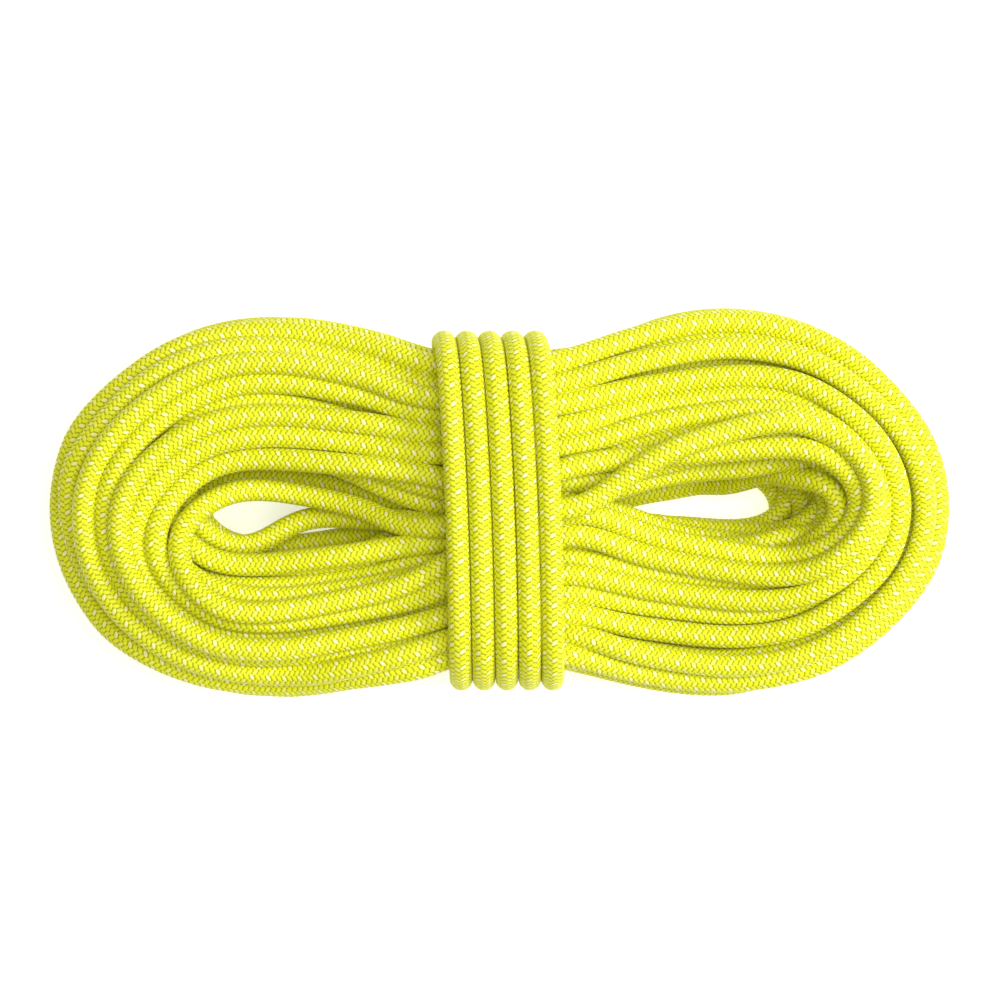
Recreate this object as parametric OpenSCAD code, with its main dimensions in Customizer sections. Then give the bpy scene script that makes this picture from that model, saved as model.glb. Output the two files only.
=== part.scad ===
// Dynamic climbing rope, wound in an oval hank and bound round its middle with five turns of itself.
// The hank lies flat: X runs along it, Y across it and Z up. The origin is at the middle of its
// underside. All sizes are in millimetres.

/* [Rope] */
// Diameter of the rope
rope_d = 9.5; // [8.5:0.1:10.5]

/* [Hank] */
// Length from the end of one lobe to the end of the other
hank_l = 386; // [360:1:420]
// Width of the left lobe
left_lobe_w = 157; // [150:1:170]
// Width of the right lobe
right_lobe_w = 162; // [150:1:170]
// Height of the wound turns in the two lobes
lobe_h = 66; // [58:1:76]
// Distance from the middle to the widest place of each lobe
lobe_x = 98; // [90:1:110]
// Radius of the rounded long edges
edge_r = 24; // [16:1:28]

/* [Bound waist] */
// Width of the bundle inside the binding turns
waist_w = 136; // [120:1:140]
// Height of the bundle inside the binding turns
waist_h = 62; // [54:1:70]
// How far the waist lies to the -Y side of the middle line
waist_offset = 4.5; // [0:0.5:8]

/* [Binding turns] */
// Distance from one binding turn to the next
turn_pitch = 9.8; // [9.8:0.1:12]
// Angle that the binding turns lean in plan, in degrees
turn_lean = 2; // [0:0.5:4]

/* [Eyes] */
// Length of the open eye inside each lobe
eye_l = 46; // [30:1:60]
// Width of the open eye inside each lobe
eye_w = 15; // [8:1:22]

/* [Rope ends] */
// Length of the marking sleeve at each end of the rope
sleeve_l = 30; // [20:1:36]
// Wall thickness of the marking sleeve
sleeve_t = 0.4; // [0.3:0.1:0.6]
// Length of the heat-sealed tip beyond the sleeve
tip_l = 4; // [3:0.5:6]

/* [Hidden] */

$fn = 48;
rope_r = rope_d / 2;
turn_count = 5;
middle_turn = 3;
half_l = hank_l / 2;
// The waist keeps one section along this much of X on each side of the middle.
waist_half = 30;
// The binding turns pass under the waist, so it is held one rope diameter off the ground.
waist_lift = rope_d + 0.1;
// The lobes sag below the ground by this much before they are cut off flat.
flat_cut = 4;
// How far from the middle the underside comes down to the ground.
underside_x = 74;
// Rounding of the outer end of each lobe, along X and along Z.
end_round = 30;
end_drop = 24;
end_power = 2.3;
end_reach = 0.995;
station_count = 56;
corner_steps = 6;
tube_sides = 12;
sleeve_r = rope_r + 0.05 + sleeve_t;
// The tails lie on the ground on their sleeves.
tail_z = sleeve_r;
// Points of a tail as [distance from where it leaves the bundle, height], with a gentle way down.
tail_route = [[0, 14.5], [10, 12.6], [20, 9.3], [30, 6.6], [42, tail_z], [58, tail_z], [78, tail_z]];
tail_end = tail_route[len(tail_route) - 1][0];
tail_slot_w = 12;
tail_slot_top = 11;
// Where each tail leaves the bundle, and which way it points in plan.
left_tail_at = [-29, -14];
left_tail_turn = 192;
right_tail_at = [28, 8];
right_tail_turn = 10;
eye_x = 101;
left_eye_y = -7;
right_eye_y = 1;
eye_r = (eye_l * eye_l + eye_w * eye_w) / (4 * eye_w);
sheath_yellow = [0.88, 0.93, 0.1];
sleeve_clear = [0.92, 0.92, 0.86];
tip_olive = [0.62, 0.66, 0.1];

// From 0 at t = 0 to 1 at t = 1, level at both.
function ease(t) = let (c = max(0, min(1, t))) c * c * (3 - 2 * c);

// 0 in the waist and 1 from the widest place of the lobe outwards.
function lobe_share(x) = ease((abs(x) - waist_half) / (lobe_x - waist_half));

function lobe_w(x) = x < 0 ? left_lobe_w : right_lobe_w;

// Share of the way from the widest place of the lobe to its end.
function end_share(x) = max(0, (abs(x) - lobe_x) / (half_l - lobe_x)) * end_reach;

function half_width(x) = (waist_w + (lobe_w(x) - waist_w) * lobe_share(x)) / 2
    * pow(1 - pow(end_share(x), end_power), 1 / end_power);

// How much the rounded end takes off the top and the underside.
function end_trim(x) = let (t = max(0, (abs(x) - half_l + end_round) / end_round) * end_reach)
    end_drop * (1 - sqrt(1 - t * t));

function underside(x) = waist_lift - (waist_lift + flat_cut) * ease((abs(x) - waist_half)
    / (underside_x - waist_half)) + end_trim(x);

function top_side(x) = waist_lift + waist_h + (lobe_h - waist_lift - waist_h) * lobe_share(x) - end_trim(x);

function mid_y(x) = -waist_offset * (1 - lobe_share(x));

// Rounded rectangle across X, as a ring of points.
function section_ring(x) = let (
    w = half_width(x),
    low = underside(x),
    high = top_side(x),
    r = min(edge_r, 0.9 * w, 0.45 * (high - low)),
    corners = [[w - r, high - r, 0], [r - w, high - r, 90], [r - w, low + r, 180], [w - r, low + r, 270]])
    [for (c = corners, i = [0:corner_steps]) let (a = c[2] + 90 * i / corner_steps)
        [x, mid_y(x) + c[0] + r * cos(a), c[1] + r * sin(a)]];

// Closed skin over rings that all have the same number of points.
module skin(rings) {
    n = len(rings[0]);
    last = len(rings) - 1;
    sides = [for (i = [0:last - 1], j = [0:n - 1]) let (k = (j + 1) % n)
        [i * n + j, i * n + k, (i + 1) * n + k, (i + 1) * n + j]];
    start_cap = [[for (j = [0:n - 1]) n - 1 - j]];
    end_cap = [[for (j = [0:n - 1]) last * n + j]];
    polyhedron(points = [for (ring = rings, p = ring) p], faces = concat(sides, start_cap, end_cap));
}

module lobes_and_waist() {
    xs = [for (i = [0:station_count]) -half_l * cos(180 * i / station_count)];
    skin([for (x = xs) section_ring(x)]);
}

// The lens-shaped way through a lobe.
module eye(x, y) {
    translate([x, y, -1])
        linear_extrude(lobe_h + 20)
            intersection_for(side = [-1, 1])
                translate([0, side * (eye_r - eye_w / 2)])
                    circle(r = eye_r, $fn = 96);
}

// Room under the hank where a tail lies.
module tail_slot() {
    slope_end = tail_route[3][0];
    translate([0, tail_slot_w / 2, 0])
        rotate([90, 0, 0])
            linear_extrude(tail_slot_w)
                polygon([[0, -flat_cut - 1], [tail_end + tip_l + 2, -flat_cut - 1],
                    [tail_end + tip_l + 2, tail_slot_top], [slope_end, tail_slot_top + 1], [0, 20]]);
}

// Puts a tail's own frame where that tail leaves the bundle.
module at_tail(at, turn) {
    translate([at.x, at.y, 0])
        rotate([0, 0, turn])
            children();
}

module hank() {
    color(sheath_yellow)
        difference() {
            intersection() {
                lobes_and_waist();
                translate([-hank_l, -hank_l / 2, 0])
                    cube([2 * hank_l, hank_l, hank_l]);
            }
            eye(-eye_x, left_eye_y);
            eye(eye_x, right_eye_y);
            at_tail(left_tail_at, left_tail_turn) tail_slot();
            at_tail(right_tail_at, right_tail_turn) tail_slot();
        }
}

// A quarter bend of rope, round the corner of the bundle.
module bend(bend_r) {
    rotate_extrude(angle = 90)
        translate([bend_r, 0])
            circle(r = rope_r);
}

// One closed turn round the waist, drawn in its own plane and then stood up across X.
module binding_turn(index) {
    bend_r = edge_r + rope_r;
    side_y = waist_w / 2 - edge_r;
    side_z = waist_h / 2 - edge_r;
    color(sheath_yellow)
        translate([(index - middle_turn) * turn_pitch - 1.2, -waist_offset, waist_lift + waist_h / 2])
            rotate([0, 0, turn_lean])
                rotate([90, 0, 90])
                    for (corner = [0:3]) {
                        sy = corner == 0 || corner == 3 ? 1 : -1;
                        sz = corner < 2 ? 1 : -1;
                        run = corner % 2 == 0 ? 2 * side_y : 2 * side_z;
                        translate([sy * side_y, sz * side_z, 0])
                            rotate([0, 0, 90 * corner]) {
                                bend(bend_r);
                                translate([0, bend_r, 0])
                                    rotate([0, -90, 0])
                                        cylinder(r = rope_r, h = run);
                            }
                    }
}

// The plain tube of a tail, swept along its route in the tail's own frame.
module tail() {
    last = len(tail_route) - 1;
    slopes = [for (i = [0:last]) let (a = tail_route[max(0, i - 1)], b = tail_route[min(last, i + 1)])
        atan2(b[1] - a[1], b[0] - a[0])];
    color(sheath_yellow)
        skin([for (i = [0:last]) [for (j = [0:tube_sides - 1])
            let (a = 360 * j / tube_sides, up = rope_r * sin(a))
            [
                tail_route[i][0] - up * sin(slopes[i]),
                rope_r * cos(a),
                tail_route[i][1] + up * cos(slopes[i])
            ]]]);
}

// The shrunk-on marking sleeve round the last stretch of a tail.
module sleeve() {
    color(sleeve_clear)
        translate([tail_end - sleeve_l, 0, tail_z])
            rotate([0, 90, 0])
                difference() {
                    cylinder(r = sleeve_r, h = sleeve_l);
                    translate([0, 0, -1]) cylinder(r = sleeve_r - sleeve_t, h = sleeve_l + 2);
                }
}

// The end of the rope, melted into a blunt cap.
module tip() {
    round_r = tip_l * 0.6;
    color(tip_olive)
        translate([tail_end, 0, tail_z])
            rotate([0, 90, 0])
                rotate_extrude()
                    union() {
                        square([rope_r - round_r, tip_l]);
                        square([rope_r, tip_l - round_r]);
                        intersection() {
                            translate([rope_r - round_r, tip_l - round_r]) circle(r = round_r);
                            square([rope_r, tip_l]);
                        }
                    }
}

hank();
binding_turn(1);  // binding_turn_1
binding_turn(2);  // binding_turn_2
binding_turn(3);  // binding_turn_3
binding_turn(4);  // binding_turn_4
binding_turn(5);  // binding_turn_5
at_tail(left_tail_at, left_tail_turn) tail();  // tail_left
at_tail(left_tail_at, left_tail_turn) sleeve();  // sleeve_left
at_tail(left_tail_at, left_tail_turn) tip();  // tip_left
at_tail(right_tail_at, right_tail_turn) tail();  // tail_right
at_tail(right_tail_at, right_tail_turn) sleeve();  // sleeve_right
at_tail(right_tail_at, right_tail_turn) tip();  // tip_right
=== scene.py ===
"""A 40 m dynamic climbing rope, wound into a hank with two eyes and bound five times round its waist."""

import math
from collections import namedtuple

import bpy
import numpy as np
from mathutils import Matrix, Vector
from mathutils.kdtree import KDTree


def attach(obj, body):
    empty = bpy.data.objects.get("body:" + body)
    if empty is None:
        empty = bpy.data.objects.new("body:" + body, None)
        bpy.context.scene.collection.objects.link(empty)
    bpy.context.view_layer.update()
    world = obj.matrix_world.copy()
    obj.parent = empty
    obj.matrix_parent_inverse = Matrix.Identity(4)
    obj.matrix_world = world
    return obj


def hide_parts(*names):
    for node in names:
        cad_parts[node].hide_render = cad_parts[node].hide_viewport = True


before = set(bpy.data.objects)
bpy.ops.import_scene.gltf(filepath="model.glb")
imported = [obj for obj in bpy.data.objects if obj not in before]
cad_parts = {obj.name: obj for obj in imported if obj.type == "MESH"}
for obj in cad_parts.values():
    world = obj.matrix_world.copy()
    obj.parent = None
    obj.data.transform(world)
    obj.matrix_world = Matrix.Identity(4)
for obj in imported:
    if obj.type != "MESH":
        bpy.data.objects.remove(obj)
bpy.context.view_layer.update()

MM = 0.001
SEED = 7

# The rope and its binding, as in the CAD.
ROPE_D = 9.5 * MM
ROPE_R = ROPE_D / 2
WAIST_W, WAIST_H, WAIST_CORNER = 136 * MM, 62 * MM, 24 * MM
WAIST_MID_Y = -4.5 * MM
WAIST_LIFT = ROPE_D + 0.1 * MM
BINDING_TURNS = 5
BINDING_PITCH = 9.8 * MM
BINDING_LEAN = 8.3 * MM
BINDING_MID_X = -1.2 * MM
SLEEVE_L = 30 * MM
SLEEVE_T = 0.4 * MM
TIP_L = 4 * MM

# The line that the rope follows is worked out at points this far apart.
POINT_STEP = ROPE_R
# Bends tighter than this radius are opened out a little in each round of settling, measured over these
# numbers of points to each side. A few stay tighter.
LEAST_BEND = 21 * MM
BEND_SPANS = (1, 2, 4)

# Photographer's camera: straight above the middle of the hank.
CAMERA_HEIGHT = 1.166
CAMERA_LENS = 93.8
CAMERA_SENSOR = 36


# ---------------------------------------------------------------- camera


def add_camera():
    data = bpy.data.cameras.new("camera")
    data.lens = CAMERA_LENS
    data.sensor_width = CAMERA_SENSOR
    camera = bpy.data.objects.new("camera", data)
    bpy.context.scene.collection.objects.link(camera)
    camera.location = (0, 0, CAMERA_HEIGHT)
    bpy.context.scene.camera = camera


add_camera()


# ---------------------------------------------------------------- how the rope is wound

# One turn of the hank in plan, in millimetres from its middle: the ends of its two lobes, the tops and
# bottoms of the lobes, and where its upper and lower runs go through the waist.
Turn = namedtuple(
    "Turn",
    "left_end left_top left_low waist_left_up waist_left_low "
    "waist_right_up waist_right_low right_top right_low right_end",
)

# Turns of a layer from the outermost to the innermost.
LAYER = [
    Turn(-187, 72, -76, 59, -68, 59, -67, 75, -76, 188),
    Turn(-181, 65, -70, 50, -59, 50, -58, 66, -69, 181),
    Turn(-174, 57, -63, 41, -50, 42, -50, 56, -61, 174),
    Turn(-167, 49, -56, 32, -42, 33, -42, 46, -52, 167),
    Turn(-160, 41, -49, 24, -34, 25, -34, 37, -44, 161),
    Turn(-153, 33, -41, 15, -26, 16, -26, 28, -35, 155),
    Turn(-146, 25, -33, 7, -18, 8, -19, 24, -31, 155),
    Turn(-139, 16, -30, -1, -10, 0, -11, 16, -22, 150),
]
# How the innermost turn of each lower layer lies in the eyes: left top and low, right top and low.
INNERMOST = [
    (27, -21, 18, -25),
    (10, -40, 28, -14),
    (27, -21, 19, -25),
    (10, -40, 27, -17),
    (27, -21, 19, -23),
]

# The top layer, whose turns lie more loosely.
TOP_LAYER = [
    Turn(-190, 72.5, -79, 58.5, -70, 59, -66, 76, -77, 189),
    Turn(-183, 65.5, -76, 50, -68, 50, -57, 65, -70, 181),
    Turn(-175.5, 58.5, -72, 43.5, -65, 41, -49, 52.5, -58, 168.5),
    Turn(-169, 50.5, -67.5, 36.5, -60, 32, -40, 44, -49, 163),
    Turn(-161, 36.5, -63, 28.5, -52, 23, -31, 39, -43, 161),
    Turn(-155, 27.5, -58, 20, -45, -5.5, -14, 34, -33, 157),
    Turn(-147, 18, -53, 10.5, -40, 13, -3, 23.5, -25, 153),
    Turn(-138, 5, -48, -13.5, -33, 4, 1, 14, -24, 148),
]

LAYER_TURNS = [8, 8, 9, 8, 9, 8]
TOP = len(LAYER_TURNS) - 1

# Where the guide points of a turn begin at the waist, in millimetres.
WAIST_LEFT, WAIST_RIGHT = -30, 26
# Where the innermost turn under the top layer rises across the left eye, in millimetres.
LEFT_RISE_AT = (-84, -8)
# Length of a lobe's rounded end as a share of its width.
LOBE_LENGTH = 0.59
# Shape of that end: how far out, and how far up or down.
LOBE_SHAPE = [
    (0.42, 0.90), (0.74, 0.64), (0.94, 0.33), (1, 0),
    (0.94, -0.33), (0.74, -0.64), (0.42, -0.90),
]
# Between the waist and a lobe a run has one more guide point: how far out it is, and how far up or down.
RUN_OUT, RUN_SPREAD = 0.45, 0.62
# Places in a turn's list of guide points.
LEFT_RISE_POINT = 11
RIGHT_WAIST_POINT = 14
RIGHT_END_POINT = 20


# A layer starts this much above the one below it, in the lobes and at the waist. The two innermost turns
# of the right eye nest closer.
LOBE_LAYER_RISE, WAIST_LAYER_RISE = 10 * MM, 9.6 * MM
NESTED_TURNS, NESTED_DROP = 2, 1.9 * MM
# Turns next to each other start this far up or down, and a lobe sways by this much, in rope diameters.
STAGGER, SWAY, TOP_SWAY_SHARE = 0.22, 0.25, 0.3
# The height changes between the waist and the lobes, from this far out and over this length, in millimetres.
WAIST_REACH, WAIST_SLOPE = 30, 50
# How loosely each measure of a turn is laid, in millimetres, and how much of that the top layer has.
LOOSENESS = np.array([2.2, 2, 2, 1, 1, 1, 1, 2, 2, 2.2])
TOP_LOOSENESS = 0.2
# The eyes narrow towards the ground, where the innermost turn reaches this much less far, in millimetres.
LEFT_EYE_TAPER, RIGHT_EYE_TAPER = 4, 22
# How far in the outer turns of the layer under the top one lie at the left end and lower left, in
# millimetres. The layer below that has half as much.
SIDE_INSET, LOW_SIDE_INSET = 8, 7


def mix(a, b, share):
    return a + (b - a) * share


def lobe(middle_x, end_x, top, low):
    """Guide points round one lobe, from its top to its underside."""
    middle_y, half = (top + low) / 2, (top - low) / 2
    bend = [(mix(middle_x, end_x, out), middle_y + half * up) for out, up in LOBE_SHAPE]
    return [(middle_x, top), *bend, (middle_x, low)]


def guide_points(turn):
    """Guide points of one turn in plan: left lobe, lower run, right lobe and upper run."""
    left_middle = turn.left_end + LOBE_LENGTH * (turn.left_top - turn.left_low)
    right_middle = turn.right_end - LOBE_LENGTH * (turn.right_top - turn.right_low)
    left_x = mix(WAIST_LEFT, left_middle, RUN_OUT)
    right_x = mix(WAIST_RIGHT, right_middle, RUN_OUT)
    return [
        (WAIST_LEFT, turn.waist_left_up),
        (left_x, mix(turn.waist_left_up, turn.left_top, RUN_SPREAD)),
        *lobe(left_middle, turn.left_end, turn.left_top, turn.left_low),
        (left_x, mix(turn.waist_left_low, turn.left_low, RUN_SPREAD)),
        (WAIST_LEFT, turn.waist_left_low),
        (mix(WAIST_LEFT, WAIST_RIGHT, 0.5), mix(turn.waist_left_low, turn.waist_right_low, 0.5)),
        (WAIST_RIGHT, turn.waist_right_low),
        (right_x, mix(turn.waist_right_low, turn.right_low, RUN_SPREAD)),
        *lobe(right_middle, turn.right_end, turn.right_top, turn.right_low)[::-1],
        (right_x, mix(turn.waist_right_up, turn.right_top, RUN_SPREAD)),
        (WAIST_RIGHT, turn.waist_right_up),
    ]


def wound_turns(rng):
    """Every turn of the hank in the order it is wound, as (layer, index in its layer, Turn)."""
    turns = []
    for layer, count in enumerate(LAYER_TURNS):
        table = np.array(TOP_LAYER if layer == TOP else LAYER, float)
        spots = np.linspace(0, len(table) - 1, count)
        order = range(count) if layer % 2 else range(count - 1, -1, -1)
        depth = 1 - layer / TOP
        for index in order:
            row = np.array([np.interp(spots[index], range(len(table)), column) for column in table.T])
            looseness = LOOSENESS * (TOP_LOOSENESS if layer == TOP else 1)
            turn = Turn(*(row + rng.normal(0, 1, len(row)) * looseness))
            inner = (index / (count - 1)) ** 3
            if layer < TOP:
                turn = turn._replace(
                    left_end=turn.left_end + LEFT_EYE_TAPER * depth * inner,
                    right_end=turn.right_end - RIGHT_EYE_TAPER * depth * inner,
                )
            if layer in (TOP - 1, TOP - 2):
                inset = (1 - index / (count - 1)) * (layer + 3 - TOP) / 2
                turn = turn._replace(
                    left_end=turn.left_end + SIDE_INSET * inset,
                    left_low=turn.left_low + LOW_SIDE_INSET * inset,
                )
            if index == count - 1 and layer < TOP:
                left_top, left_low, right_top, right_low = INNERMOST[layer]
                turn = turn._replace(
                    left_top=left_top, left_low=left_low, right_top=right_top, right_low=right_low
                )
            turns.append((layer, index, turn))
    return turns


def starting_heights(layer, index, x, rng):
    """Heights of a turn's guide points before it sinks into place: neighbours start a little apart.

    Round the right eye the two innermost turns of each layer nest closer and so lie lower.
    """
    near_waist = np.clip(1 - (np.abs(x) - WAIST_REACH) / WAIST_SLOPE, 0, 1)
    stagger = STAGGER * ROPE_D * (1 if (index + layer) % 2 else -1)
    sway = rng.normal(0, SWAY, 2) * ROPE_D * (TOP_SWAY_SHARE if layer == TOP else 1)
    nested = NESTED_DROP * (index >= LAYER_TURNS[layer] - NESTED_TURNS) * (x > 0)
    in_lobe = ROPE_R + layer * (LOBE_LAYER_RISE - nested) + np.where(x < 0, *sway)
    in_waist = WAIST_LIFT + ROPE_R + layer * WAIST_LAYER_RISE
    return mix(in_lobe, in_waist, near_waist) + stagger


# How far the outer turns of the top layer have slid down the hank's side, in rope diameters.
OUTER_DROPS = [1.0, 0.6, 0.3, 0.1]
# Where turns of the top layer pass over or under others: which turns, which of their guide points, and
# how far up those are, in rope diameters.
TOP_LAYER_MOVES = [
    ([7], slice(0, RIGHT_WAIST_POINT - 1), 1.1),
    ([5], slice(-3, None), 0.9),
    ([4], slice(RIGHT_END_POINT, -4), -0.8),
    ([4], slice(-4, -2), -0.4),
    ([6, 7], slice(RIGHT_WAIST_POINT, RIGHT_END_POINT - 3), -0.6),
]


def down_slope(x, y):
    """Where the hank's top slopes down to its side: 1 at its lower left, falling to 0 at the upper right."""
    past_waist = np.clip((np.abs(x) - 35) / 80, 0, 1)
    share = past_waist * np.clip(-0.75 * x / 190 - 0.45 * y / 80, 0, 1)
    return share**2 * (3 - 2 * share)


def hank_guide(rng):
    """Guide points of the whole hank."""
    points = []
    turns = wound_turns(rng)
    for number, (layer, index, turn) in enumerate(turns):
        plan = np.array(guide_points(turn))
        z = starting_heights(layer, index, plan[:, 0], rng)
        if layer == TOP - 1 and index == LAYER_TURNS[layer] - 1:
            plan[LEFT_RISE_POINT] = LEFT_RISE_AT
        if layer == TOP:
            if index < len(OUTER_DROPS):
                z -= OUTER_DROPS[index] * ROPE_D * down_slope(*plan.T)
            for turns_moved, places, diameters in TOP_LAYER_MOVES:
                if index in turns_moved:
                    z[places] += diameters * ROPE_D
        first = RIGHT_WAIST_POINT + 1 if number == 0 else 0
        last = RIGHT_END_POINT + 1 if number == len(turns) - 1 else len(plan)
        points += [(x * MM, y * MM, h) for (x, y), h in zip(plan[first:last], z[first:last])]
    return points


def in_metres(points):
    return [tuple(v * MM for v in point) for point in points]


# The ends of the rope, which come out from under the binding and lie beneath the lobes: distance from
# the binding and height, in millimetres, as in the CAD.
TAIL_ROUTE = [(0, 14.5), (10, 12.6), (20, 9.3), (30, 6.6), (42, 5.2), (58, 5.2), (78, 5.2)]
START_TAIL_AT, START_TAIL_TURNED = (-29, -14), 192
END_TAIL_AT, END_TAIL_TURNED = (28, 8), 10
# From the starting tail to the first turn.
START_TUCK = [(-10, -13.5, 14.6), (10, -13, 14.8)]
# From the last turn down the right eye to the underside of the binding.
DIVE = [
    (146, 6, 42), (138, 12, 37), (125, 14, 30), (110, 12, 21), (95, 9, 12), (78, 5, 6),
    (60, 2, 4.8), (44, -4, 4.8), (33, -15, 4.8), (27, -30, 4.8),
]
# From the last turn of the binding round and back under it.
END_HOOK = [
    (-27, 34, 4.8), (-36, 26, 4.8), (-50, 20, 4.8), (-63, 12, 5.5), (-67, 1, 7.5),
    (-60, -8, 10.5), (-46, -9, 13), (-30, -4, 14.4), (-12, 0.5, 14.6), (8, 4.5, 14.6),
]


def tail(at, turned):
    """Points of one end of the rope, from the binding out to the end of its tip."""
    c, s = math.cos(math.radians(turned)), math.sin(math.radians(turned))
    return in_metres([(at[0] + along * c, at[1] + along * s, z) for along, z in TAIL_ROUTE])


# ---------------------------------------------------------------- lines


def along_line(line):
    steps = np.linalg.norm(np.diff(line, axis=0), axis=1)
    return np.concatenate([[0], np.cumsum(steps)])


def resampled(line, step):
    """The line with its points evenly spaced, about step apart."""
    along = along_line(line)
    at = np.linspace(0, along[-1], max(2, round(along[-1] / step) + 1))
    return np.column_stack([np.interp(at, along, column) for column in line.T])


def curve_through(points, step):
    """A centripetal Catmull-Rom curve through the points, sampled evenly."""
    p = np.asarray(points, float)
    p = np.vstack([2 * p[0] - p[1], p, 2 * p[-1] - p[-2]])
    knots = np.concatenate([[0], np.cumsum(np.sqrt(np.linalg.norm(np.diff(p, axis=0), axis=1)))])
    parts = []
    for i in range(1, len(p) - 2):
        count = max(4, int(np.linalg.norm(p[i + 1] - p[i]) / MM))
        u = np.linspace(knots[i], knots[i + 1], count, endpoint=False)[:, None]
        t0, t1, t2, t3 = knots[i - 1 : i + 3]
        a1 = ((t1 - u) * p[i - 1] + (u - t0) * p[i]) / (t1 - t0)
        a2 = ((t2 - u) * p[i] + (u - t1) * p[i + 1]) / (t2 - t1)
        a3 = ((t3 - u) * p[i + 1] + (u - t2) * p[i + 2]) / (t3 - t2)
        b1 = ((t2 - u) * a1 + (u - t0) * a2) / (t2 - t0)
        b2 = ((t3 - u) * a2 + (u - t1) * a3) / (t3 - t1)
        parts.append(((t2 - u) * b1 + (u - t1) * b2) / (t2 - t1))
    parts.append(p[-2][None])
    return resampled(np.vstack(parts), step)


# ---------------------------------------------------------------- the binding


def rounded_rectangle(share, half_w, half_h, corner):
    """The point a share of the way round a rounded rectangle, from the middle of its underside."""
    a, b, arc = half_w - corner, half_h - corner, math.pi / 2 * corner
    left = (share % 1) * 4 * (a + b + arc)
    sides = [
        (0, -half_h, 1, 0, a),
        (half_w, -b, 0, 1, 2 * b),
        (a, half_h, -1, 0, 2 * a),
        (-half_w, b, 0, -1, 2 * b),
    ]
    corners = [(a, -b, -90), (a, b, 0), (-a, b, 90), (-a, -b, 180)]
    for (u, v, du, dv, length), (middle_u, middle_v, start) in zip(sides, corners):
        if left <= length:
            return u + du * left, v + dv * left
        left -= length
        if left <= arc:
            angle = math.radians(start + 90 * left / arc)
            return middle_u + corner * math.cos(angle), middle_v + corner * math.sin(angle)
        left -= arc
    return left - a, -half_h


def binding_line():
    """The binding turns, from right to left: under towards -Y, up the side, and back over the top."""
    points = []
    steps = 72
    for step in range(BINDING_TURNS * steps + 1):
        turn, share = divmod(step / steps, 1)
        u, v = rounded_rectangle(share, WAIST_W / 2 + ROPE_R, WAIST_H / 2 + ROPE_R, WAIST_CORNER + ROPE_R)
        over_top = min(max((share - 0.25) / 0.5, 0), 1)
        underneath = (min(share, 0.25) + max(share - 0.75, 0)) / 0.5
        shift = BINDING_LEAN * over_top**2.5 + (BINDING_PITCH - BINDING_LEAN) * underneath
        x = BINDING_MID_X + (BINDING_TURNS / 2 - turn) * BINDING_PITCH - shift
        points.append((x, WAIST_MID_Y - u, WAIST_LIFT + WAIST_H / 2 + v))
    return resampled(np.array(points), POINT_STEP)


# ---------------------------------------------------------------- settling

# The binding grips the turns within this distance of its middle, and leans by this many degrees.
BINDING_GRIP = 24 * MM
BINDING_TILT = 2
# Two points can touch only if they are more than this many points apart along the rope.
LEAST_POINTS_APART = 8
# Turns touch at this share of the rope's thickness, and at less under the binding, where they are pressed
# flat. That pressing has its full effect at the middle and ends this far out.
TOUCH, PRESSED = 0.985, 0.065
PRESSED_FULL, PRESSED_FADE = 1.6, 40 * MM
# Rounds of settling, and how many there are when only a rough picture is wanted.
ROUNDS, QUICK_ROUNDS = 450, 60
# Each round: how far the turns sink, at first and in the last part, how strongly they are drawn back to
# where they were laid, and how often their moves are evened out and their overlaps pushed apart.
SINK, LAST_SINK, LAST_PART = 0.22 * MM, 0.08 * MM, 0.7
DRAW_BACK = 0.16
EVENINGS, PUSHES = 2, 3
# Pairs of near points are looked up anew after this many rounds, out to this many diameters.
LOOK_UP_EVERY, LOOK_UP_REACH = 15, 1.35
PUSH_EASE = 0.96
# A share of each tight bend is opened out at a time.
OPEN_SHARE = 0.5
TINY = 1e-12


def near_pairs(p, reach, free):
    """Pairs of points on different stretches of the rope that are within reach of each other."""
    tree = KDTree(len(p))
    for index, point in enumerate(p):
        tree.insert(point, index)
    tree.balance()
    found = [
        (i, j)
        for i, point in enumerate(p)
        for _, j, _ in tree.find_range(point, reach)
        if j > i + LEAST_POINTS_APART
    ]
    i, j = np.array(found).T
    keep = free[i] | free[j]
    return i[keep], j[keep]


def held_in_waist(p):
    """The points, with those that the binding goes round moved inside its rounded rectangle."""
    lean = math.tan(math.radians(BINDING_TILT))
    held = np.abs(p[:, 0] - BINDING_MID_X + (p[:, 1] - WAIST_MID_Y) * lean) < BINDING_GRIP
    y = p[held, 1] - WAIST_MID_Y
    z = p[held, 2] - WAIST_LIFT - WAIST_H / 2
    corner = WAIST_CORNER - ROPE_R
    flat_y, flat_z = WAIST_W / 2 - WAIST_CORNER, WAIST_H / 2 - WAIST_CORNER
    out_y = np.maximum(np.abs(y) - flat_y, 0)
    out_z = np.maximum(np.abs(z) - flat_z, 0)
    scale = np.minimum(corner / np.maximum(np.hypot(out_y, out_z), 1e-9), 1)
    moved = p.copy()
    moved[held, 1] = WAIST_MID_Y + np.sign(y) * (np.minimum(np.abs(y), flat_y) + out_y * scale)
    moved[held, 2] = WAIST_LIFT + WAIST_H / 2 + np.sign(z) * (np.minimum(np.abs(z), flat_z) + out_z * scale)
    return moved


def open_bends(p, free, span):
    """Opens out bends tighter than LEAST_BEND, measured over span points to each side."""
    bow = (p[: -2 * span] + p[2 * span :]) / 2 - p[span:-span]
    size = np.linalg.norm(bow, axis=1) + TINY
    most = (span * POINT_STEP) ** 2 / (2 * LEAST_BEND)
    opened = bow * (OPEN_SHARE * np.maximum(size - most, 0) / size)[:, None]
    middle, before, after = slice(span, -span), slice(None, -2 * span), slice(2 * span, None)
    for part, share in ((middle, 1), (before, -0.5), (after, -0.5)):
        p[part] += share * opened * free[part, None]


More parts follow.
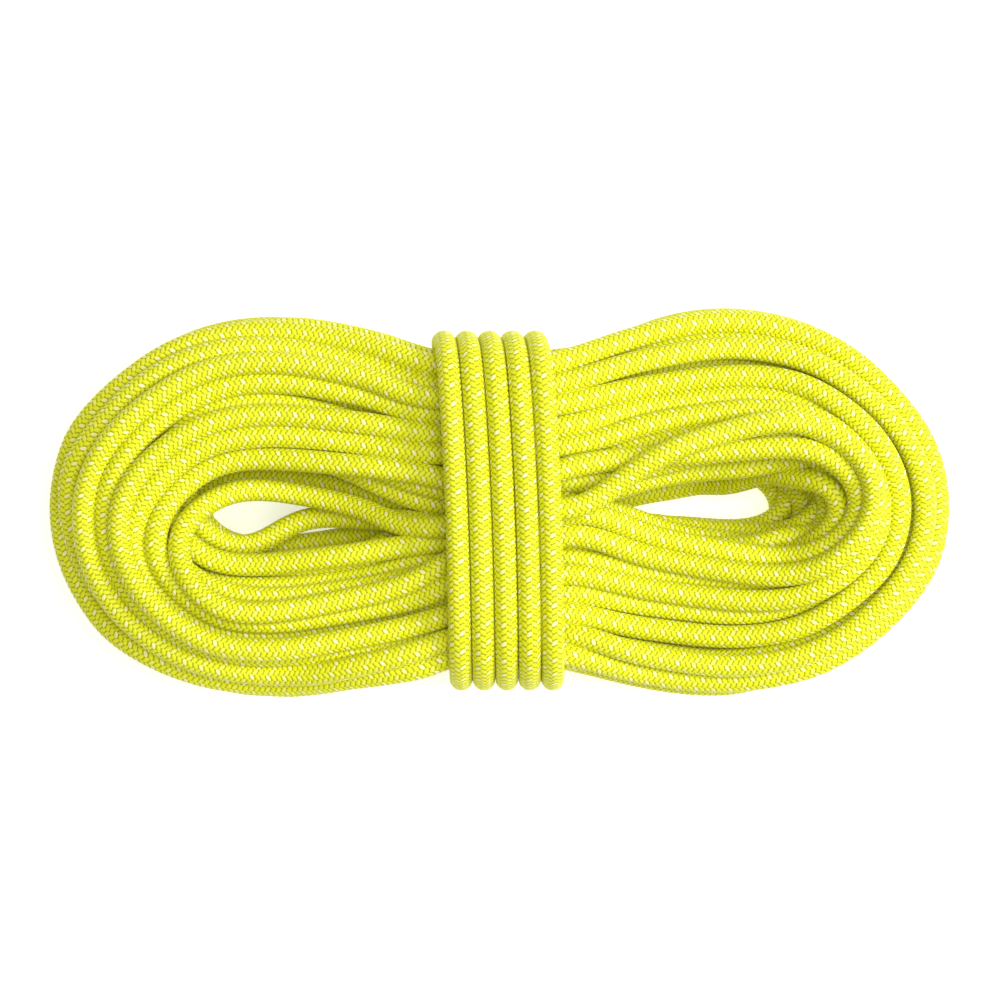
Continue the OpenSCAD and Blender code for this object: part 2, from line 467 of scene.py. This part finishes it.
def settle(rest, free, rounds):
    """Lets the turns sink onto each other, and pushes them apart where they overlap."""
    p = rest.copy()
    count = len(p)
    pressed = np.clip(PRESSED_FULL - np.abs(rest[:, 0]) / PRESSED_FADE, 0, 1)
    room = ROPE_D * (TOUCH - PRESSED * pressed)
    for step in range(rounds):
        if step % LOOK_UP_EVERY == 0:
            i, j = near_pairs(p, LOOK_UP_REACH * ROPE_D, free)
            share_i = free[i] / (free[i].astype(float) + free[j])
        p[free, 2] -= LAST_SINK if step > LAST_PART * rounds else SINK
        p[free, :2] += DRAW_BACK * (rest[free, :2] - p[free, :2])
        moved = p - rest
        for _ in range(EVENINGS):
            moved[1:-1] += 0.5 * ((moved[:-2] + moved[2:]) / 2 - moved[1:-1])
        p[free] = (rest + moved)[free]
        for span in BEND_SPANS:
            open_bends(p, free, span)
        for _ in range(PUSHES):
            apart = p[i] - p[j]
            distance = np.linalg.norm(apart, axis=1) + TINY
            deep = np.maximum(room[i] - distance, 0)
            push = apart * (deep / distance)[:, None]
            contacts = np.bincount(i[deep > 0], minlength=count) + np.bincount(j[deep > 0], minlength=count)
            ease = PUSH_EASE / np.sqrt(np.maximum(contacts, 1))
            for axis in range(3):
                away = np.bincount(i, push[:, axis] * share_i, count)
                back = np.bincount(j, push[:, axis] * (1 - share_i), count)
                p[:, axis] += (away - back) * ease
            p[free] = held_in_waist(p)[free]
            p[free, 2] = np.maximum(p[free, 2], ROPE_R)
        for span in BEND_SPANS:
            open_bends(p, free, span)
    return p


# Points of the binding at which the rope runs onto it and off it, and over how many points they overlap.
ONTO_BINDING, OFF_BINDING, JOIN_OVERLAP = 6, -18, 4
# The dive to the underside stays as it is laid once it is this low.
DIVE_FIXED_BELOW = 9 * MM
LAST_SMOOTHINGS = 2


def rope_route():
    """The rope's centreline from the end of its starting tip to the end of its finishing tip."""
    rng = np.random.default_rng(SEED)
    start = tail(START_TAIL_AT, START_TAIL_TURNED)[::-1] + in_metres(START_TUCK)
    wraps = binding_line()
    joined, past_joined = wraps[ONTO_BINDING], wraps[ONTO_BINDING + JOIN_OVERLAP]
    into_binding = [tuple(joined), tuple(past_joined)]
    body = curve_through(start + hank_guide(rng) + in_metres(DIVE) + into_binding, POINT_STEP)
    body = body[: -round(np.linalg.norm(past_joined - joined) / POINT_STEP)]
    off_binding = [tuple(wraps[OFF_BINDING]), tuple(wraps[OFF_BINDING + JOIN_OVERLAP])]
    end = tail(END_TAIL_AT, END_TAIL_TURNED)
    finish = curve_through(off_binding + in_metres(END_HOOK) + end, POINT_STEP)
    rest = np.vstack([body, wraps[ONTO_BINDING + 1 : OFF_BINDING], finish])
    free = np.zeros(len(rest), bool)
    first_free = len(curve_through(start, POINT_STEP))
    last_free = np.nonzero(body[:, 2] > DIVE_FIXED_BELOW)[0].max()
    free[first_free:last_free] = True
    line = settle(rest, free, ROUNDS)
    for _ in range(LAST_SMOOTHINGS):
        line[1:-1] = (line[:-2] + 2 * line[1:-1] + line[2:]) / 4
    return resampled(line, POINT_STEP / 2)


# ---------------------------------------------------------------- the sheath's braid

# The sheath is braided from 24 carriers: 12 columns of short floats show round the rope, and the floats
# of neighbouring columns lean opposite ways.
BRAID_COLUMNS = 12
COLUMN_W = math.pi * ROPE_D / BRAID_COLUMNS
FLOAT_PITCH = 0.255 * ROPE_D
# A float is a slanting oval: half its length and width, and its slant from straight across the rope.
FLOAT_HALF_L, FLOAT_HALF_W = 1.75 * MM, 0.86 * MM
FLOAT_SLANT = math.radians(32)
FLOAT_LEAN = math.tan(FLOAT_SLANT) * COLUMN_W / FLOAT_PITCH
FLOAT_HEIGHT = 0.3 * MM
# The rope's own radius is at this share of a float's height.
FLOAT_MIDDLE = 0.5
SIDES_PER_COLUMN = 3
RINGS_PER_FLOAT = 3


def carried_frames(line):
    """Two directions across the line at each point, carried along it without twisting."""
    ahead = np.gradient(line, axis=0)
    ahead /= np.linalg.norm(ahead, axis=1)[:, None]
    side = np.zeros_like(line)
    side[0] = np.cross(ahead[0], (0, 0, 1))
    side[0] /= np.linalg.norm(side[0])
    for k in range(1, len(line)):
        v = side[k - 1] - ahead[k] * np.dot(side[k - 1], ahead[k])
        side[k] = v / math.sqrt(np.dot(v, v))
    return side, np.cross(ahead, side)


def float_height(column, across, along):
    """How far the floats of one column stand up, from 0 between them to 1 on the crown of one."""
    lean = np.where(column % 2 == 0, 1, -1)
    row = along - 0.5 * (column % 2)
    off = row - np.round(row - FLOAT_LEAN * lean * across)
    x, y = across * COLUMN_W, off * FLOAT_PITCH
    lengthwise = x * math.cos(FLOAT_SLANT) + lean * y * math.sin(FLOAT_SLANT)
    widthwise = y * math.cos(FLOAT_SLANT) - lean * x * math.sin(FLOAT_SLANT)
    inside = 1 - (lengthwise / FLOAT_HALF_L) ** 2 - (widthwise / FLOAT_HALF_W) ** 2
    return np.sqrt(np.maximum(inside, 0))


def tube_faces(rings, sides):
    """Ring and step of each quad of a closed tube, its quads as point numbers, and its two end caps."""
    ring, step = np.meshgrid(np.arange(rings - 1), np.arange(sides), indexing="ij")
    following = (step + 1) % sides
    near, far = ring * sides, (ring + 1) * sides
    quads = np.stack([near + step, near + following, far + following, far + step], axis=-1).reshape(-1, 4)
    caps = [list(range(sides))[::-1], [(rings - 1) * sides + k for k in range(sides)]]
    return ring, step, quads, caps


def tube_mesh(name, line):
    """The braided sheath as one closed tube, with a UV map of the share round it and the floats along it."""
    length = along_line(line)[-1]
    rings = int(length / (FLOAT_PITCH / RINGS_PER_FLOAT))
    sides = BRAID_COLUMNS * SIDES_PER_COLUMN
    side, up = carried_frames(line)
    at = np.linspace(0, length, rings)
    along = along_line(line)
    centre, side, up = (
        np.column_stack([np.interp(at, along, column) for column in part.T]) for part in (line, side, up)
    )
    steps = np.arange(sides)
    angle = steps * 2 * math.pi / sides
    columns = steps / SIDES_PER_COLUMN
    nearest = np.round(columns)
    height = np.zeros((rings, sides))
    for column in (nearest - 1, nearest, nearest + 1):
        found = float_height(column[None], (columns - column)[None], (at / FLOAT_PITCH)[:, None])
        height = np.maximum(height, found)
    radius = ROPE_R + FLOAT_HEIGHT * (height - FLOAT_MIDDLE)
    points = centre[:, None] + radius[..., None] * (
        np.cos(angle)[None, :, None] * side[:, None] + np.sin(angle)[None, :, None] * up[:, None]
    )
    ring, step, quads, caps = tube_faces(rings, sides)
    round_share = np.stack([step, step + 1, step + 1, step], axis=-1).reshape(-1, 4) / sides
    ring_at = np.stack([at[ring], at[ring], at[ring + 1], at[ring + 1]], axis=-1).reshape(-1, 4)
    uv = np.stack([round_share, ring_at / FLOAT_PITCH], axis=-1)
    return mesh_object(name, points.reshape(-1, 3), quads, caps, uv)


def mesh_object(name, points, quads, caps, uv):
    """A smooth mesh from arrays of points, quads and their UV corners, closed with two flat caps."""
    mesh = bpy.data.meshes.new(name)
    cap_corners = np.concatenate([np.array(cap) for cap in caps])
    corners = np.concatenate([quads.ravel(), cap_corners])
    sizes = np.concatenate([np.full(len(quads), 4), [len(cap) for cap in caps]])
    mesh.vertices.add(len(points))
    mesh.vertices.foreach_set("co", points.astype(np.float32).ravel())
    mesh.loops.add(len(corners))
    mesh.loops.foreach_set("vertex_index", corners.astype(np.int32))
    mesh.polygons.add(len(sizes))
    mesh.polygons.foreach_set("loop_start", np.concatenate([[0], np.cumsum(sizes)[:-1]]).astype(np.int32))
    mesh.polygons.foreach_set("use_smooth", np.ones(len(sizes), bool))
    mesh.update(calc_edges=True)
    layer = mesh.uv_layers.new(name="braid")
    values = np.zeros((len(corners), 2), np.float32)
    values[: quads.size] = uv.reshape(-1, 2)
    layer.data.foreach_set("uv", values.ravel())
    made = bpy.data.objects.new(name, mesh)
    bpy.context.scene.collection.objects.link(made)
    return made


# ---------------------------------------------------------------- materials


class Nodes:
    """Short ways to add shader nodes to one material."""

    def __init__(self, name):
        self.material = bpy.data.materials.new(name)
        self.material.use_nodes = True
        self.tree = self.material.node_tree
        self.shader = self.tree.nodes["Principled BSDF"]

    def add(self, kind, **settings):
        node = self.tree.nodes.new(kind)
        for key, value in settings.items():
            setattr(node, key, value)
        return node

    def feed(self, socket, value):
        if isinstance(value, bpy.types.NodeSocket):
            self.tree.links.new(value, socket)
        else:
            socket.default_value = value

    def maths(self, operation, *values, clamp=False):
        node = self.add("ShaderNodeMath", operation=operation, use_clamp=clamp)
        for socket, value in zip(node.inputs, values):
            self.feed(socket, value)
        return node.outputs[0]

    def ramp(self, value, low, high):
        """Value taken from the range low to high into 0 to 1, smoothly."""
        node = self.add("ShaderNodeMapRange", interpolation_type="SMOOTHSTEP")
        for key, v in (("Value", value), ("From Min", low), ("From Max", high)):
            self.feed(node.inputs[key], v)
        return node.outputs[0]

    def mix(self, share, a, b):
        node = self.add("ShaderNodeMix", data_type="FLOAT")
        for socket, value in zip(node.inputs[:1] + node.inputs[2:4], (share, a, b)):
            self.feed(socket, value)
        return node.outputs[0]

    def mix_vector(self, share, a, b):
        node = self.add("ShaderNodeMix", data_type="VECTOR")
        for socket, value in ((node.inputs["Factor"], share), (node.inputs[4], a), (node.inputs[5], b)):
            self.feed(socket, value)
        return node.outputs[1]

    def blend(self, share, a, b):
        node = self.add("ShaderNodeMix", data_type="RGBA")
        for socket, value in ((node.inputs["Factor"], share), (node.inputs[6], a), (node.inputs[7], b)):
            self.feed(socket, value)
        return node.outputs[2]

    def noise(self, vector, scale, detail=2, rough=0.5):
        node = self.add("ShaderNodeTexNoise")
        for key, value in (("Vector", vector), ("Scale", scale), ("Detail", detail), ("Roughness", rough)):
            self.feed(node.inputs[key], value)
        return node.outputs["Fac"]

    def vector(self, x, y, z):
        node = self.add("ShaderNodeCombineXYZ")
        for socket, value in zip(node.inputs, (x, y, z)):
            self.feed(socket, value)
        return node.outputs[0]


def colour(r, g, b):
    """A colour given as it shows on screen, 0 to 255, in linear light."""
    return (*[(v / 255) ** 2.2 for v in (r, g, b)], 1)


YELLOW = colour(242, 243, 40)
YELLOW_SHADED = colour(228, 230, 18)
YELLOW_DULL = colour(216, 218, 0)
# Painted shade: the yellow darkened to the shade that falls in the grooves between floats.
YELLOW_GROOVE_SHADE = colour(168, 172, 0)
WHITE = colour(252, 247, 206)
WHITE_SHADED = colour(238, 226, 168)
FILM, FILM_YELLOWED = colour(238, 238, 224), colour(226, 228, 176)
MELT_DARK, MELT_LIGHT = colour(150, 128, 30), colour(226, 214, 110)


def float_nodes(n, column, across, along):
    """Nodes for the floats of one column: their height, which float it is, and whether its yarn is white."""
    odd = n.maths("WRAP", column, 2, 0)
    lean = n.maths("MULTIPLY_ADD", odd, -2, 1)
    row = n.maths("SUBTRACT", along, n.maths("MULTIPLY", odd, 0.5))
    leaning = n.maths("MULTIPLY", n.maths("MULTIPLY", lean, across), FLOAT_LEAN)
    number = n.maths("ROUND", n.maths("SUBTRACT", row, leaning))
    x = n.maths("MULTIPLY", across, COLUMN_W)
    y = n.maths("MULTIPLY", n.maths("SUBTRACT", row, number), FLOAT_PITCH)
    leaning_x, leaning_y = n.maths("MULTIPLY", lean, x), n.maths("MULTIPLY", lean, y)
    c, sn = math.cos(FLOAT_SLANT), math.sin(FLOAT_SLANT)
    lengthwise = n.maths("ADD", n.maths("MULTIPLY", x, c), n.maths("MULTIPLY", leaning_y, sn))
    widthwise = n.maths("SUBTRACT", n.maths("MULTIPLY", y, c), n.maths("MULTIPLY", leaning_x, sn))
    length_part = n.maths("POWER", n.maths("ABSOLUTE", n.maths("DIVIDE", lengthwise, FLOAT_HALF_L)), 2)
    width_part = n.maths("POWER", n.maths("ABSOLUTE", n.maths("DIVIDE", widthwise, FLOAT_HALF_W)), 2)
    inside = n.maths("SUBTRACT", 1, n.maths("ADD", length_part, width_part), clamp=True)
    height = n.maths("SQRT", inside)

    # Every third float of a column is white, and its place moves on from one column to the next, so
    # that the white yarns climb round the rope in both directions.
    wrapped = n.maths("WRAP", column, BRAID_COLUMNS, 0)
    pair = n.maths("FLOOR", n.maths("DIVIDE", wrapped, 2))
    even_place = n.maths("MULTIPLY", pair, 2)
    odd_place = n.maths("ADD", pair, 1)
    place = n.mix(odd, even_place, odd_place)
    third = n.maths("WRAP", n.maths("SUBTRACT", number, place), 2.5, -0.5)
    white = n.maths("LESS_THAN", n.maths("ABSOLUTE", third), 0.25)
    bright = n.maths("MULTIPLY", white, n.maths("MULTIPLY_ADD", odd, -0.7, 1))
    name = n.vector(number, wrapped, 0)
    return height, lengthwise, widthwise, bright, name


def sheath_material():
    """Fluorescent yellow floats with white ones among them, each a bundle of fine filaments, with painted
    shade in the grooves between them.
    """
    n = Nodes("sheath")
    uv = n.add("ShaderNodeUVMap", uv_map="braid")
    split = n.add("ShaderNodeSeparateXYZ")
    n.feed(split.inputs[0], uv.outputs[0])
    columns = n.maths("MULTIPLY", split.outputs[0], BRAID_COLUMNS)
    along = split.outputs[1]
    own = n.maths("ROUND", columns)
    across = n.maths("SUBTRACT", columns, own)
    beside = n.maths("SIGN", across)
    own_float = float_nodes(n, own, across, along)
    next_float = float_nodes(n, n.maths("ADD", own, beside), n.maths("SUBTRACT", across, beside), along)
    on_next = n.maths("GREATER_THAN", next_float[0], own_float[0])
    height, lengthwise, widthwise, white = (
        n.mix(on_next, a, b) for a, b in zip(own_float[:4], next_float[:4])
    )
    name = n.mix_vector(on_next, own_float[4], next_float[4])
    chance = n.add("ShaderNodeTexWhiteNoise", noise_dimensions="3D")
    n.feed(chance.inputs["Vector"], name)
    luck = chance.outputs["Value"]

    # Filaments run along the float.
    fibre_at = n.vector(
        n.maths("MULTIPLY", widthwise, 5.5 / MM),
        n.maths("MULTIPLY", lengthwise, 0.7 / MM),
        n.maths("MULTIPLY", luck, 40),
    )
    fibre = n.noise(fibre_at, 1, detail=3, rough=0.6)
    place = n.add("ShaderNodeTexCoord").outputs["Object"]
    wear = n.noise(place, 45, detail=4, rough=0.6)

    strands = n.ramp(fibre, 0.3, 0.7)
    yellow = n.blend(strands, YELLOW_SHADED, YELLOW)
    varied = n.blend(n.maths("MULTIPLY", luck, 0.35), yellow, YELLOW_DULL)
    dusty = n.blend(n.maths("MULTIPLY", n.ramp(wear, 0.45, 0.75), 0.2), varied, YELLOW_DULL)
    pale = n.blend(strands, WHITE_SHADED, WHITE)
    crown = n.ramp(height, 0.5, 0.8)
    faded = n.maths("MULTIPLY_ADD", luck, -0.45, 1)
    whiteness = n.maths("MULTIPLY", n.maths("MULTIPLY", white, crown), faded)
    floats = n.blend(whiteness, dusty, pale)
    # Painted shade: where a float's height falls off into the grooves between floats, the colour is darkened
    # to the groove shade.
    n.feed(n.shader.inputs["Base Color"], n.blend(n.ramp(height, 0, 0.5), YELLOW_GROOVE_SHADE, floats))

    n.feed(n.shader.inputs["Roughness"], n.maths("MULTIPLY_ADD", fibre, 0.25, 0.45))
    n.feed(n.shader.inputs["Specular IOR Level"], 0.35)
    n.feed(n.shader.inputs["Sheen Weight"], 0.2)
    n.feed(n.shader.inputs["Sheen Roughness"], 0.5)
    n.feed(n.shader.inputs["Sheen Tint"], colour(255, 255, 120))

    bump = n.add("ShaderNodeBump")
    n.feed(bump.inputs["Height"], n.maths("MULTIPLY_ADD", fibre, 0.2, height))
    n.feed(bump.inputs["Distance"], 0.22 * MM)
    n.feed(bump.inputs["Strength"], 0.6)
    n.feed(n.shader.inputs["Normal"], bump.outputs[0])
    return n.material


def sleeve_material():
    """Clear glossy shrink film with faint ripples and scuffs, a little yellow from the sheath below."""
    n = Nodes("end_sleeve")
    place = n.add("ShaderNodeTexCoord").outputs["Object"]
    marks = n.noise(place, 900, detail=4, rough=0.65)
    scuffs = n.noise(place, 140, detail=5, rough=0.7)
    base = n.blend(n.ramp(scuffs, 0.35, 0.7), FILM, FILM_YELLOWED)
    n.feed(n.shader.inputs["Base Color"], base)
    n.feed(n.shader.inputs["Roughness"], n.maths("MULTIPLY_ADD", scuffs, 0.4, 0.08))
    n.feed(n.shader.inputs["Coat Weight"], 0.6)
    bump = n.add("ShaderNodeBump")
    n.feed(bump.inputs["Height"], marks)
    n.feed(bump.inputs["Distance"], 0.05 * MM)
    n.feed(bump.inputs["Strength"], 0.6)
    n.feed(n.shader.inputs["Normal"], bump.outputs[0])
    return n.material


def tip_material():
    """Sheath and core melted together, so yellow, brownish and a little glassy."""
    n = Nodes("sealed_tip")
    place = n.add("ShaderNodeTexCoord").outputs["Object"]
    blobs = n.noise(place, 520, detail=4, rough=0.6)
    base = n.blend(n.ramp(blobs, 0.4, 0.65), MELT_DARK, MELT_LIGHT)
    n.feed(n.shader.inputs["Base Color"], base)
    n.feed(n.shader.inputs["Roughness"], n.maths("MULTIPLY_ADD", blobs, 0.3, 0.3))
    bump = n.add("ShaderNodeBump")
    n.feed(bump.inputs["Height"], blobs)
    n.feed(bump.inputs["Distance"], 0.25 * MM)
    n.feed(bump.inputs["Strength"], 0.8)
    n.feed(n.shader.inputs["Normal"], bump.outputs[0])
    return n.material


# ---------------------------------------------------------------- ends


def turned_piece(name, profile, at, turned, sides=64):
    """A closed round piece lying along the tail: profile is (distance along it, radius) pairs."""
    rings = len(profile)
    angle = np.arange(sides) * 2 * math.pi / sides
    ring_points = np.array([[(d, r * math.cos(a), r * math.sin(a)) for a in angle] for d, r in profile])
    turn = Matrix.Rotation(math.radians(turned), 3, "Z")
    points = ring_points.reshape(-1, 3) @ np.array(turn).T + np.array(at)
    _, _, quads, caps = tube_faces(rings, sides)
    uv = np.zeros((len(quads), 4, 2))
    return mesh_object(name, points, quads, caps, uv)


def sleeve_profile():
    """A shrink sleeve: thin at both mouths, with shallow ripples where it gripped the sheath."""
    profile = []
    steps = 90
    for k in range(steps + 1):
        share = k / steps
        round_turns = share * 2 * math.pi
        ripple = 0.05 * MM * math.sin(round_turns * 11) + 0.03 * MM * math.sin(round_turns * 4.3)
        mouth = min(1, 12 * share, 12 * (1 - share))
        rounding = math.sqrt(max(0, 1 - (1 - mouth) ** 2))
        raised = (SLEEVE_T - 0.03 * MM) * rounding + ripple * mouth
        profile.append((share * SLEEVE_L, ROPE_R - 0.02 * MM + raised))
    return profile


def tip_profile(rng):
    """The melted end: a little wider than the core, slightly lumpy, with a rounded face."""
    profile = []
    steps = 24
    for k in range(steps + 1):
        share = k / steps
        rounding = math.sqrt(max(0, 1 - max(0, (share - 0.45) / 0.55) ** 2))
        radius = (ROPE_R - 0.15 * MM) * (0.25 + 0.75 * rounding) + rng.normal(0, 0.02) * MM
        profile.append((share * TIP_L, radius))
    return profile


def end_pieces(name, at, turned, rng, materials):
    """The sleeve and the sealed tip at one end of the rope."""
    out = Vector((math.cos(math.radians(turned)), math.sin(math.radians(turned)), 0))
    along, z = TAIL_ROUTE[-1]
    end = Vector((at[0] * MM, at[1] * MM, z * MM)) + out * along * MM
    sleeve = turned_piece(f"sleeve_{name}_shell", sleeve_profile(), end - out * SLEEVE_L, turned)
    tip = turned_piece(f"tip_{name}_melt", tip_profile(rng), end, turned)
    for piece, material, slot, node in (
        (sleeve, materials["end_sleeve"], "end_sleeve", f"sleeve_{name}"),
        (tip, materials["sealed_tip"], "sealed_tip", f"tip_{name}"),
    ):
        piece.data.materials.append(material)
        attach(piece, "rope")
        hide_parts(node)
    return [sleeve, tip]


# ---------------------------------------------------------------- build

materials = {"sheath": sheath_material(), "end_sleeve": sleeve_material(), "sealed_tip": tip_material()}
rng = np.random.default_rng(SEED + 1)
ends = end_pieces("left", START_TAIL_AT, START_TAIL_TURNED, rng, materials)
ends += end_pieces("right", END_TAIL_AT, END_TAIL_TURNED, rng, materials)

route = rope_route()
rope = tube_mesh("rope_sheath", route)
rope.data.materials.append(materials["sheath"])
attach(rope, "rope")
binding_nodes = [f"binding_turn_{k + 1}" for k in range(BINDING_TURNS)]
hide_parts("hank", "tail_left", "tail_right", *binding_nodes)


# ---------------------------------------------------------------- floor and light


def add_floor():
    bpy.ops.mesh.primitive_plane_add(size=12, location=(0, 0, 0))
    floor = bpy.context.object
    floor.name = "floor"
    n = Nodes("floor")
    n.feed(n.shader.inputs["Base Color"], (0.85, 0.85, 0.85, 1))
    n.feed(n.shader.inputs["Emission Color"], (1, 1, 1, 1))
    n.feed(n.shader.inputs["Emission Strength"], 0.5)
    n.feed(n.shader.inputs["Roughness"], 0.9)
    n.feed(n.shader.inputs["Specular IOR Level"], 0.1)
    floor.data.materials.append(n.material)


def add_light(name, at, size, power):
    data = bpy.data.lights.new(name, "AREA")
    data.energy = power
    data.size = size
    light = bpy.data.objects.new(name, data)
    light.location = at
    light.rotation_euler = Vector(at).to_track_quat("Z", "Y").to_euler()
    bpy.context.scene.collection.objects.link(light)


def add_sky():
    world = bpy.data.worlds.new("studio")
    bpy.context.scene.world = world
    world.use_nodes = True
    background = world.node_tree.nodes["Background"]
    background.inputs["Color"].default_value = (1, 1, 1, 1)
    background.inputs["Strength"].default_value = 0.25


add_floor()
add_sky()
add_light("key", (1.5, 0.2, 1.3), 0.8, 27)
add_light("top", (0.3, 0.1, 2.1), 1.5, 33)
bpy.context.scene.view_settings.view_transform = "Standard"
